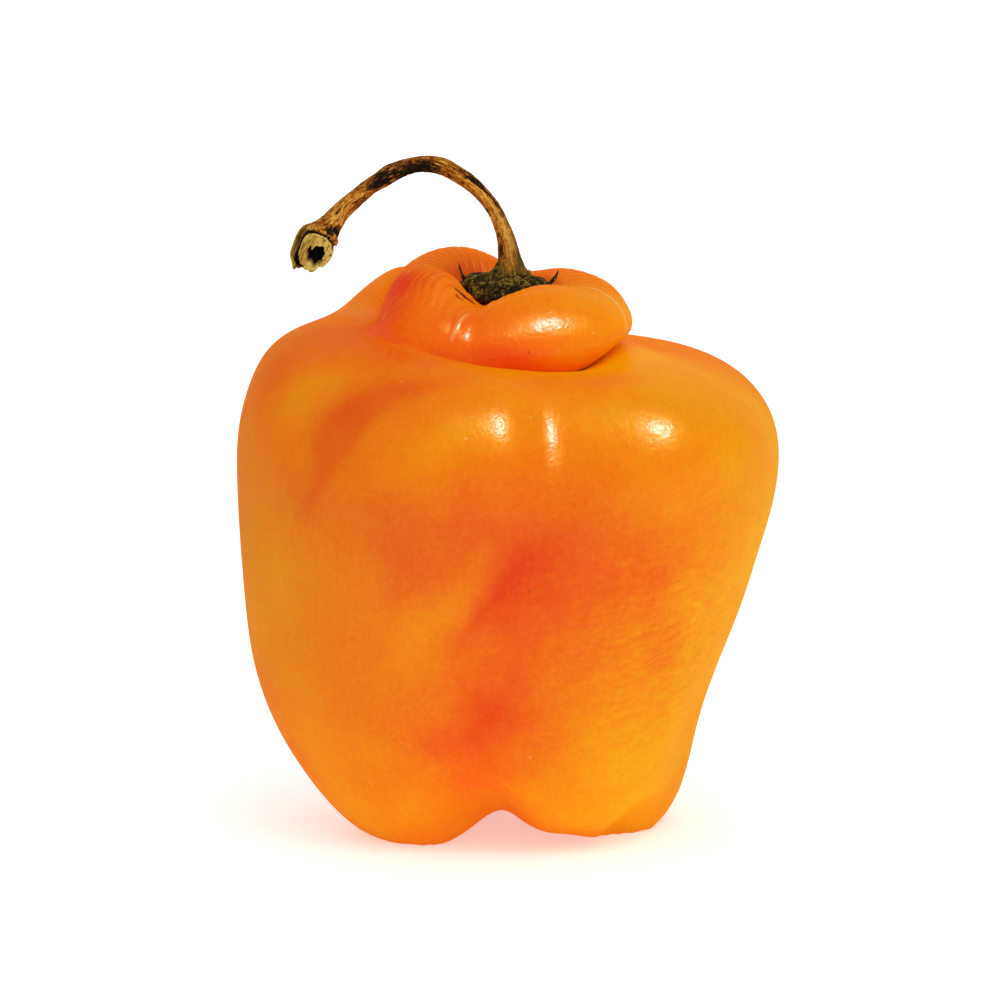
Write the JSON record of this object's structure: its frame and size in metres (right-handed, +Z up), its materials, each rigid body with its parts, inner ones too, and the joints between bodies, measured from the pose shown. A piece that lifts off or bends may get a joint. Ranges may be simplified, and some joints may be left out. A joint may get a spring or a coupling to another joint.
{
  "type": "manzano pepper",
  "caption": "Whole orange manzano pepper: blocky lobed fruit standing on its foot lobes, with a rolled crown, a toothed green calyx and a dry stem arching over to a torn end.",
  "frame": {"origin": "middle of the width and depth, on the surface that the pepper stands on", "axes": "+Z up along the fruit's own axis, +X to the right as seen from the front, -Y towards the front; the stem arches over towards -X"},
  "size_m": [0.062, 0.061, 0.0778],
  "materials": {
    "skin": "smooth waxy glossy skin, orange with red-orange and yellow-orange patches and fine flecks",
    "calyx": "matt, dark mottled olive green",
    "stem": "dry corky bark, tan and dark brown with lengthwise cracks, pale pith at the torn end"
  },
  "bodies": {
    "root": {"fruit": "skin", "calyx": "calyx", "stem": "stem"}
  },
  "joints": []
}
